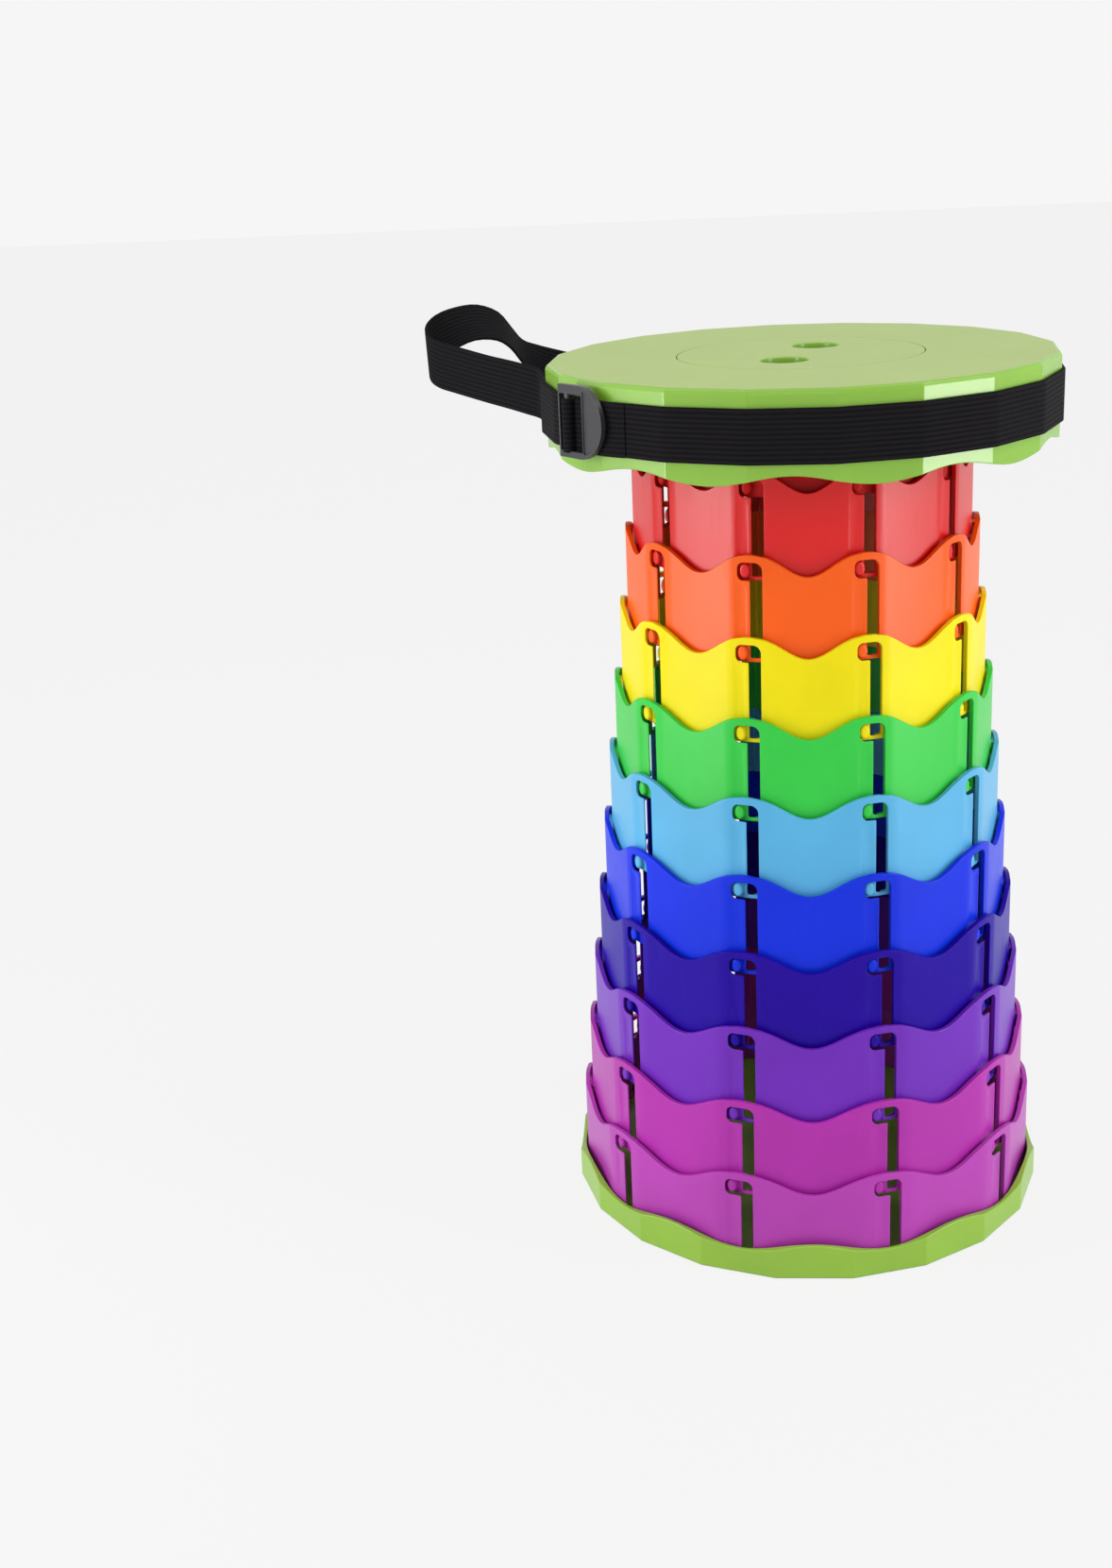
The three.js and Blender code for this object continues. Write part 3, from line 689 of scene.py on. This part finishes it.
def makeDisc():
    top = lid['top']
    inside = top - disc['sink']  # where tubes and skirt end in the plate
    plate = drum(disc['radius'], disc['thick'], (0, 0, top - disc['thick'] / 2), disc['sides'])
    spots = [wallSpot(180 - disc['turn'] + half, disc['offset'], 0) for half in (0, 180)]
    for spot in spots:
        tube = drum(disc['hole'] + disc['tubeWall'], inside - disc['tubeLow'],
                    (spot.x, spot.y, (inside + disc['tubeLow']) / 2), disc['tubeSides'])
        carve(plate, tube, 'UNION')
    skirt = drum(disc['skirt'], inside - disc['skirtLow'],
                 (0, 0, (inside + disc['skirtLow']) / 2), disc['skirtSides'])
    carve(skirt, drum(disc['skirt'] - disc['skirtWall'], disc['cut'], (0, 0, disc['skirtLow']),
                      disc['skirtSides']))
    carve(plate, skirt, 'UNION')
    for spot in spots:
        carve(plate, drum(disc['hole'], 2 * disc['cut'], (spot.x, spot.y, top - disc['cut'] / 2),
                          disc['tubeSides']))
    mouth = disc['hole'] + disc['edge']
    startEdit(plate)
    for spot in spots:
        pick('EDGE', lambda c, d: abs(c.z - top) < hair and (c.xy - spot.xy).length < mouth)
        roundOff(disc['chamfer'], disc['chamferSteps'])
    endEdit()
    roundEdges(plate, disc['edge'], disc['edgeSteps'], disc['edgeAngle'])
    return plate


centreDisc = makeDisc()
finishPiece(centreDisc, 'centre_disc', 'seat_centre_disc', grainedPlastic('disc plastic'),
            'seat_centre_disc')
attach(centreDisc, 'seat')
print("disc made")

tray = dict(
    apothem=0.125, foot=0.0008, floor=0.003, wall=0.0024, valley=0.0141, peak=0.0192,
    edge=0.0006, pocketDeep=0.0015, pocketCut=0.004, tint=(142, 186, 58), rough=0.30, shine=0.45)


def makeTray():
    a, foot = tray['apothem'], tray['foot']
    mid, rise = (tray['valley'] + tray['peak']) / 2, (tray['peak'] - tray['valley']) / 2
    shell = sidedLoop(a - foot, 0, 0)
    bpy.ops.mesh.edge_face_add()
    bpy.ops.mesh.select_mode(type='EDGE')
    drawOn(foot, sides=(a - foot, a))
    drawOn(mid - foot)
    pick('FACE', lambda c, n: abs(c.z - mid) < hair)
    bpy.ops.mesh.inset(thickness=tray['wall'] / 2)
    bpy.ops.mesh.select_mode(type='VERT')
    roundTo(a - tray['wall'])
    pullOut(z=tray['floor'] - mid)
    waveEdge(mid, 0, rise)
    endEdit()
    faceOut(shell)
    roundEdges(shell, tray['edge'], 2, flatAngle)
    # pockets for the lowest ring's pins
    gap, cut = rings['gap'], tray['pocketCut']
    size = (2 * (rings['pinWide'] + gap), cut, 2 * (rings['pinTall'] + gap))
    out = a - tray['wall'] + tray['pocketDeep'] - cut / 2
    pockets = []
    for i in range(crests):
        azimuth = tenth / 2 - rings['hook'] + tenth * i
        pocket = block(size, (0, 0, 0))
        pocket.rotation_euler = (0, 0, turnOf(azimuth))
        pocket.location = wallSpot(azimuth, out, rings['floor'] + rings['pinRise'])
        pockets.append(settle(pocket))
    carve(shell, joinAll(pockets))
    return shell


trayShell = makeTray()
plastic = mouldedPlastic('tray plastic', tray['tint'], tray['rough'], tray['shine'])
finishPiece(trayShell, 'tray_shell', 'base_tray', plastic, 'base_tray')
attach(trayShell, 'base')
print("tray made")

# The strap. Its flats are turned by turn; layer and far are how far out the webbing lies.
strap = dict(
    low=0.4167, high=0.4417, inner=0.1253, thick=0.0015, corner=0.002, cornerSteps=3,
    wrap=0.0025, wrapThick=0.0012, edge=0.0003, edgeAngle=50, turn=-4.0, layer=0.1274,
    far=0.12605, hinge=-108.7, rootIn=0.1275, rootOut=0.1445, subSteps=3, handleReach=0.33)
# The buckle. left, bar and shoulder lie along the belt from the azimuth turn, stand outwards.
buckle = dict(
    turn=-49.0, stand=0.13158, left=-0.0234, bar=-0.0174, barRadius=0.0016, barSink=0.001,
    barAngle=50, shoulder=-0.008, half=0.01705, sides=64, thick=0.003, drop=0.0025,
    lowRail=0.0032, topRail=0.0044, sideRail=0.0011, lobe=0.0147, edge=0.0004, edgeAngle=30,
    dish=0.0009, dishRim=0.002, dishGap=0.0009, dishCut=0.01,
    tint=(40, 38, 44), rough=0.38, shine=0.6)

# Spots beside the buckle are pairs: along the belt, and outwards.
layerPath = dict(
    sink=0.00265, atBar=[(0.0006, 0.0001), (-0.0008, -0.0002), (-0.0060, -0.0016)],
    corners=(-67, -85), steps=(4, 2, 0.7, 0, -0.7, -2, -4), sharp=0.7, sharpOff=0.9,
    lastFlat=5.5, end=7, endLift=0.0004, eyeTurns=range(-100, 232, 22), eyeEnd=(-0.0048, 0.0002))
tailPath = dict(
    atBar=(0.0017, -0.0017), apothem=0.1268, lift=0.0010,
    under=[(-0.0133, 0.12920), (-0.0095, 0.12886), (-0.0050, 0.12885), (-0.0012, 0.12908)],
    onBelt=[(0.0005, -0.0002), (0.0035, 0.0001), (0.0080, 0.0002), (0.0125, -0.0002),
            (0.0160, -0.0008), (0.0175, -0.0011)])

# The handle's ends: azimuth, and how far off the layer or the belt. Its loop, from near root
# to far root: low edge, then high edge, in mm.
nearRoot = [(-91.2, 0.0002), (-94.2, 0.0006)]
farRoot = [(-125.5, 0.0022), (-128.5, 0.0016)]
handleEdges = [
    (-128.6, 12, 417.2, -128.8, 12, 442.3), (-132, 20, 418.6, -132.8, 20.5, 444.2),
    (-139.2, 26, 420, -139.8, 27, 445.5), (-149.4, 35, 421.8, -149.8, 35.8, 447),
    (-160.3, 45, 423.4, -160, 45.6, 448.2), (-171.3, 55, 425.2, -170.9, 55.8, 450),
    (-181.8, 63.5, 427.2, -181.6, 64.5, 452), (-190.3, 70.5, 429, -190.8, 72.5, 453.8),
    (-195.2, 76, 432, -196.6, 79.5, 456.5), (-196.1, 81, 437.1, -197.7, 87.5, 460.9),
    (-192.9, 86.4, 441.6, -193.7, 94.1, 465.1), (-183.8, 89.2, 446.6, -183.6, 101.8, 468),
    (-172, 88.9, 451.5, -171.9, 107.1, 468.3), (-159.7, 87.2, 451.3, -160.8, 108.8, 463.7),
    (-152.2, 83.5, 447.4, -153.7, 107, 455.2), (-145.1, 78.7, 439, -147.6, 101.3, 449.2),
    (-137.2, 75.6, 429.5, -138.5, 92.9, 447.2), (-126.9, 75.3, 422.2, -127.1, 84.2, 445.4),
    (-114, 76.5, 417.5, -114, 79, 442.8)]


def upright(spot):
    return Vector((spot.x, spot.y, strap['low'])), Vector((spot.x, spot.y, strap['high']))


def smoothPath(spots, subSteps):  # a centripetal curve through the spots
    line = [2 * spots[0] - spots[1]] + spots + [2 * spots[-1] - spots[-2]]
    path = []
    for i in range(1, len(line) - 2):
        p = line[i - 1:i + 3]
        t = [0.0]
        for a, b in zip(p, p[1:]):
            t.append(t[-1] + max((b - a).length, 1e-6) ** 0.5)
        for step in range(subSteps):
            u = t[1] + (t[2] - t[1]) * step / subSteps
            level = list(p)
            for width in (1, 2):
                level = [(level[k] * (t[k + width] - u) + level[k + 1] * (u - t[k]))
                         / (t[k + width] - t[k]) for k in range(len(level) - 1)]
            a, b = level
            path.append((a * (t[2] - u) + b * (u - t[1])) / (t[2] - t[1]))
    return path + [spots[-1]]


def layStrip(pairs, thick):  # a webbing strip through pairs of edge points, low edge first
    letGo()
    last = len(pairs) - 1
    aside = 10  # moved points wait this far up, where no later pick finds them
    bpy.ops.mesh.primitive_grid_add(x_subdivisions=last, y_subdivisions=1, size=2, calc_uvs=True)
    strip = bpy.context.object
    strip.data.uv_layers[0].name = 'strip'
    startEdit(strip, 'VERT')
    for i, pair in enumerate(pairs):
        x = -1 + 2 * i / last
        for y, target in zip((-1, 1), pair):
            pick('VERT', lambda c: (c - Vector((x, y, 0))).length < 10 * hair)
            nudge(target.x - x, target.y - y, target.z + aside)
    bpy.ops.mesh.select_all(action='SELECT')
    nudge(z=-aside)
    endEdit()
    modify(strip, 'SOLIDIFY', thickness=thick, offset=0)
    roundEdges(strip, strap['edge'], 2, strap['edgeAngle'])
    return strip


def buckleSpot(along, out):
    turn = turnOf(buckle['turn'])
    return Vector((along * math.cos(turn) + out * math.sin(turn),
                   along * math.sin(turn) - out * math.cos(turn), 0))


def makeLayer():  # off the buckle's bar, over two corners, to the handle's near root
    path, start = layerPath, buckle['stand'] - layerPath['sink']
    route = [buckleSpot(buckle['bar'] + along, start + out) for along, out in path['atBar']]
    for corner in path['corners']:
        for step in path['steps']:
            off = abs(step) if abs(step) > path['sharp'] else path['sharpOff']
            route.append(wallSpot(corner + step, flatReach(strap['layer'], off), 0))
    route.append(wallSpot(corner - path['lastFlat'],
                          flatReach(strap['layer'], path['lastFlat']), 0))
    route.append(wallSpot(corner - path['end'], strap['layer'] + path['endLift'], 0))
    return layStrip([upright(spot) for spot in route], strap['thick'])


def makeEye():  # round the buckle's bar
    route = [buckleSpot(buckle['bar'] + strap['wrap'] * math.cos(turnOf(angle)),
                        buckle['stand'] + strap['wrap'] * math.sin(turnOf(angle)))
             for angle in layerPath['eyeTurns']]
    along, out = layerPath['eyeEnd']
    start = buckle['stand'] - layerPath['sink']
    route.append(buckleSpot(buckle['bar'] + along, start + out))
    return layStrip([upright(spot) for spot in route], strap['wrapThick'])


def makeBelt():
    loop = sidedLoop(strap['inner'], strap['low'], strap['turn'], cuts=0)
    pullOut(z=strap['high'] - strap['low'])
    pick('EDGE', lambda c, d: abs(d.z) > mostly)
    roundOff(strap['corner'], strap['cornerSteps'])
    endEdit()
    faceOut(loop)
    modify(loop, 'SOLIDIFY', thickness=strap['thick'], offset=1)
    roundEdges(loop, strap['edge'], 2, strap['edgeAngle'])
    return joinAll([loop, makeLayer(), makeEye()])


def makeHandle():
    near, far = ([upright(wallSpot(azimuth, strap[side] + lift, 0)) for azimuth, lift in root]
                 for side, root in (('layer', nearRoot), ('far', farRoot)))
    loop = [(Vector(edge[:3]) / 1000, Vector(edge[3:]) / 1000) for edge in handleEdges]
    low, high = (smoothPath(list(line), strap['subSteps']) for line in zip(*(near + loop + far)))
    return layStrip(list(zip(low, high)), strap['thick'])


def makeTail():  # off the bar, down through the window, under the lobe, and out along the belt
    slope = math.tan(turnOf(halfFlat))
    corner = flatReach(tailPath['apothem'])
    along, out = tailPath['atBar']
    spots = [buckleSpot(buckle['bar'] + along, buckle['stand'] + out)]
    spots += [buckleSpot(along, out) for along, out in tailPath['under']]
    spots += [buckleSpot(along, corner - along * slope + tailPath['lift'] + lift)
              for along, lift in tailPath['onBelt']]
    return layStrip([upright(spot) for spot in spots], strap['thick'])


beltWeb = webbing('belt webbing', low=strap['low'])
belt = finishPiece(makeBelt(), 'belt_webbing', 'webbing', beltWeb, 'strap_belt')
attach(belt, 'seat')
tail = finishPiece(makeTail(), 'tail_webbing', 'webbing', beltWeb, 'strap_tail')
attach(tail, 'seat')
handleWeb = webbing('handle webbing', reach=strap['handleReach'])
handle = finishPiece(makeHandle(), 'handle_webbing', 'webbing', handleWeb, 'strap_handle')
wallSpot(strap['hinge'], strap['rootIn'], 0.432)
wallSpot(strap['hinge'], strap['rootOut'], 0.432)
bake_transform(handle)
print("strap made")


def makeBuckle():
    half, thick, sides = buckle['half'], buckle['thick'], buckle['sides']
    shoulder = buckle['shoulder']
    mid = strap['low'] - buckle['drop'] + half
    plate = drum(half, thick, (shoulder, 0, mid), sides, 'Y')
    startEdit(plate, everything=True)
    keepBeyond(shoulder)
    pick('FACE', lambda c, n: abs(n.x) > mostly and abs(c.x - shoulder) < hair)
    pullOut(x=buckle['left'] - shoulder)
    endEdit()
    faceOut(plate)
    lobe = shoulder + half - buckle['lobe']
    start = buckle['left'] + buckle['sideRail']
    low, high = mid - half + buckle['lowRail'], mid + half - buckle['topRail']
    carve(plate, block((lobe - start, thick * 3, high - low),
                       ((lobe + start) / 2, 0, (low + high) / 2)))
    cut = buckle['dishCut']
    dish = drum(half - buckle['dishRim'], cut,
                (shoulder, buckle['dish'] - thick / 2 - cut / 2, mid), sides, 'Y')
    startEdit(dish, everything=True)
    keepBeyond(lobe + buckle['dishGap'])
    endEdit()
    carve(plate, dish)
    roundEdges(plate, buckle['edge'], 3, buckle['edgeAngle'])
    bar = drum(buckle['barRadius'], high - low + 2 * buckle['barSink'],
               (buckle['bar'], 0, (low + high) / 2))
    roundEdges(bar, buckle['edge'], 2, buckle['barAngle'])
    whole = joinAll([plate, bar])
    whole.rotation_euler = (0, 0, turnOf(buckle['turn']))
    whole.location = wallSpot(buckle['turn'], buckle['stand'], 0)
    return settle(whole)


plastic = mouldedPlastic('buckle plastic', buckle['tint'], buckle['rough'], buckle['shine'])
bucklePlate = finishPiece(makeBuckle(), 'buckle_plate', 'buckle', plastic, 'buckle_frame')
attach(bucklePlate, 'buckle')
print("buckle made")

# paper and glow are what the camera sees of sky and floor; skyLevel is what lights the stool.
studio = dict(
    paper=0.922, glow=0.936, skyLevel=0.60, keep=0.10, floorSize=14.0, floorBack=1.5,
    grey=0.7, rough=0.9, shine=0.1)

letGo()
bpy.ops.mesh.primitive_plane_add(size=studio['floorSize'], location=(0, studio['floorBack'], 0))
floor = bpy.context.object
floor.name = 'studio_floor'
paper = Finish('studio paper')
paper.set(Base_Color=(studio['grey'],) * 3 + (1,), Roughness=studio['rough'],
          Specular_IOR_Level=studio['shine'])
glow = paper.node('ShaderNodeEmission', Color=(studio['glow'],) * 3 + (1,), Strength=1.0)
mix = paper.node('ShaderNodeMixShader', i0=seenRays(paper.tree) * (1 - studio['keep']),
                 i1=Wire(paper.tree, paper.shader.outputs[0]), i2=glow)
paper.tree.links.new(mix.socket, paper.out.inputs[0])
floor.data.materials.append(paper.material)

scene = bpy.context.scene
sky = bpy.data.worlds.new('studio sky')
scene.world = sky
sky.use_nodes = True
tree = sky.node_tree
level = seenRays(tree) * (studio['paper'] - studio['skyLevel']) + studio['skyLevel']
tree.nodes['Background'].inputs['Color'].default_value = (1, 1, 1, 1)
tree.links.new(level.socket, tree.nodes['Background'].inputs['Strength'])

lamps = [  # name, place, aimed at, width, height, watts
    ('left strip box', (-0.95, -0.42, 0.40), (0, 0, 0.30), 0.22, 0.80, 5.5),
    ('right strip box', (0.95, -0.42, 0.40), (0, 0, 0.30), 0.22, 0.80, 5.5),
    ('left high box', (-0.90, -0.15, 1.60), (0, 0, 0.44), 0.50, 0.50, 3.4),
    ('right high box', (0.90, -0.15, 1.60), (0, 0, 0.44), 0.50, 0.50, 3.4),
    ('top box', (0.15, -0.25, 1.65), (0, 0, 0.3), 1.1, 1.1, 1.8),
    ('front fill', (0.1, -1.9, 1.2), (0, 0, 0.25), 0.9, 0.9, 1.6)]
for name, at, aim, width, tall, watts in lamps:
    data = bpy.data.lights.new(name, 'AREA')
    data.shape, data.size, data.size_y, data.energy = 'RECTANGLE', width, tall, watts
    lamp = bpy.data.objects.new(name, data)
    lamp.location = at
    lamp.rotation_euler = (Vector(aim) - Vector(at)).to_track_quat('-Z', 'Y').to_euler()
    scene.collection.objects.link(lamp)

# The camera that the photo was matched with. Turns in degrees, lens and sensor in mm.
view = dict(at=(-0.039823, -1.021206, 0.577747), yaw=-5.116, pitch=-18.928, roll=-2.687,
            lens=46.376, sensor=36)
yaw, pitch, roll = (turnOf(view[key]) for key in ('yaw', 'pitch', 'roll'))
ahead = Vector((math.sin(yaw) * math.cos(pitch), math.cos(yaw) * math.cos(pitch),
                math.sin(pitch)))
side = Vector((math.cos(yaw), -math.sin(yaw), 0))
over = side.cross(ahead)
right = side * math.cos(roll) + over * math.sin(roll)
up = over * math.cos(roll) - side * math.sin(roll)
camera = bpy.data.objects.new('camera', bpy.data.cameras.new('camera'))
facing = Matrix((right, up, -ahead)).transposed().to_4x4()
camera.matrix_world = Matrix.Translation(view['at']) @ facing
camera.data.lens = view['lens']
camera.data.sensor_width = view['sensor']
scene.collection.objects.link(camera)
scene.camera = camera
scene.view_settings.view_transform = 'Standard'
print("studio set")
